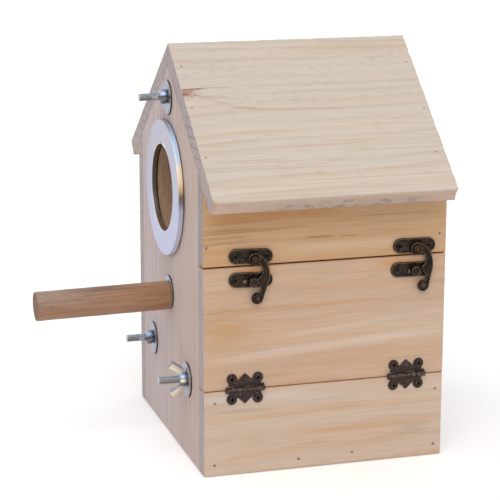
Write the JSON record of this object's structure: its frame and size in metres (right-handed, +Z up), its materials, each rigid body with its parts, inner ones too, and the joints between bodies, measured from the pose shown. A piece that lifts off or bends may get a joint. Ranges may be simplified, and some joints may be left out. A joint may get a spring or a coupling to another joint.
{
  "type": "bird nest box",
  "caption": "Gabled wooden nest box for cage birds: round entry with a metal guard ring, perch, bolts to hang it on a cage, and a hinged side door held by two hook latches.",
  "frame": {"origin": "centre of the underside of the box, between the four walls' outer faces", "axes": "+Z up, -Y out of the gable with the entry and perch, +X out of the side with the door"},
  "size_m": [0.2212, 0.2517, 0.2643],
  "materials": {
    "roof_pine": "sawn pine, pale, unfinished",
    "side_pine": "planed pine, warm, unfinished",
    "gable_pine": "planed pine, upright grain, unfinished",
    "inner_pine": "sawn pine, unfinished",
    "dowel_wood": "reddish hardwood dowel, unfinished",
    "ring_metal": "satin face, polished rim",
    "zinc_steel": "bright zinc plating",
    "antique_bronze": "antique bronze finish, brighter on worn edges"
  },
  "bodies": {
    "box": {"floor_board": "inner_pine", "front_wall": "gable_pine", "back_wall": "gable_pine", "left_wall": "side_pine", "right_upper_board": "side_pine", "right_lower_board": "side_pine", "roof_right": "roof_pine", "roof_left": "roof_pine", "entry_ring": "ring_metal", "perch": "dowel_wood", "perch_washer": "zinc_steel", "perch_screw": "zinc_steel", "hanger_bolt_top": "zinc_steel", "hanger_bolt_left": "zinc_steel", "hanger_bolt_right": "zinc_steel", "washer_top": "zinc_steel", "washer_left": "zinc_steel", "washer_right": "zinc_steel", "wing_nut_top": "zinc_steel", "wing_nut_left": "zinc_steel", "wing_nut_right": "zinc_steel", "hook_plate_front": "antique_bronze", "hook_plate_back": "antique_bronze", "hook_rivet_front": "antique_bronze", "hook_rivet_back": "antique_bronze", "hinge_lower_front": "antique_bronze", "hinge_lower_back": "antique_bronze", "hinge_pin_front": "antique_bronze", "hinge_pin_back": "antique_bronze"},
    "door": {"door_board": "side_pine", "keeper_plate_front": "antique_bronze", "keeper_plate_back": "antique_bronze", "keeper_post_front": "antique_bronze", "keeper_post_back": "antique_bronze", "hinge_upper_front": "antique_bronze", "hinge_upper_back": "antique_bronze"},
    "hook_front": {"latch_hook_front": "antique_bronze"},
    "hook_back": {"latch_hook_back": "antique_bronze"}
  },
  "joints": [
    {"name": "door_hinge", "type": "hinge", "parent": "box", "child": "door", "pos_m": [0.0879, 0, 0.0566], "axis": [0, 1, 0], "range_deg": [0, 132]},
    {"name": "hook_front_pivot", "type": "hinge", "parent": "box", "child": "hook_front", "pos_m": [0.0885, -0.0479, 0.1399], "axis": [1, 0, 0], "range_deg": [0, 180]},
    {"name": "hook_back_pivot", "type": "hinge", "parent": "box", "child": "hook_back", "pos_m": [0.0885, 0.0594, 0.1399], "axis": [1, 0, 0], "range_deg": [0, 180]}
  ]
}
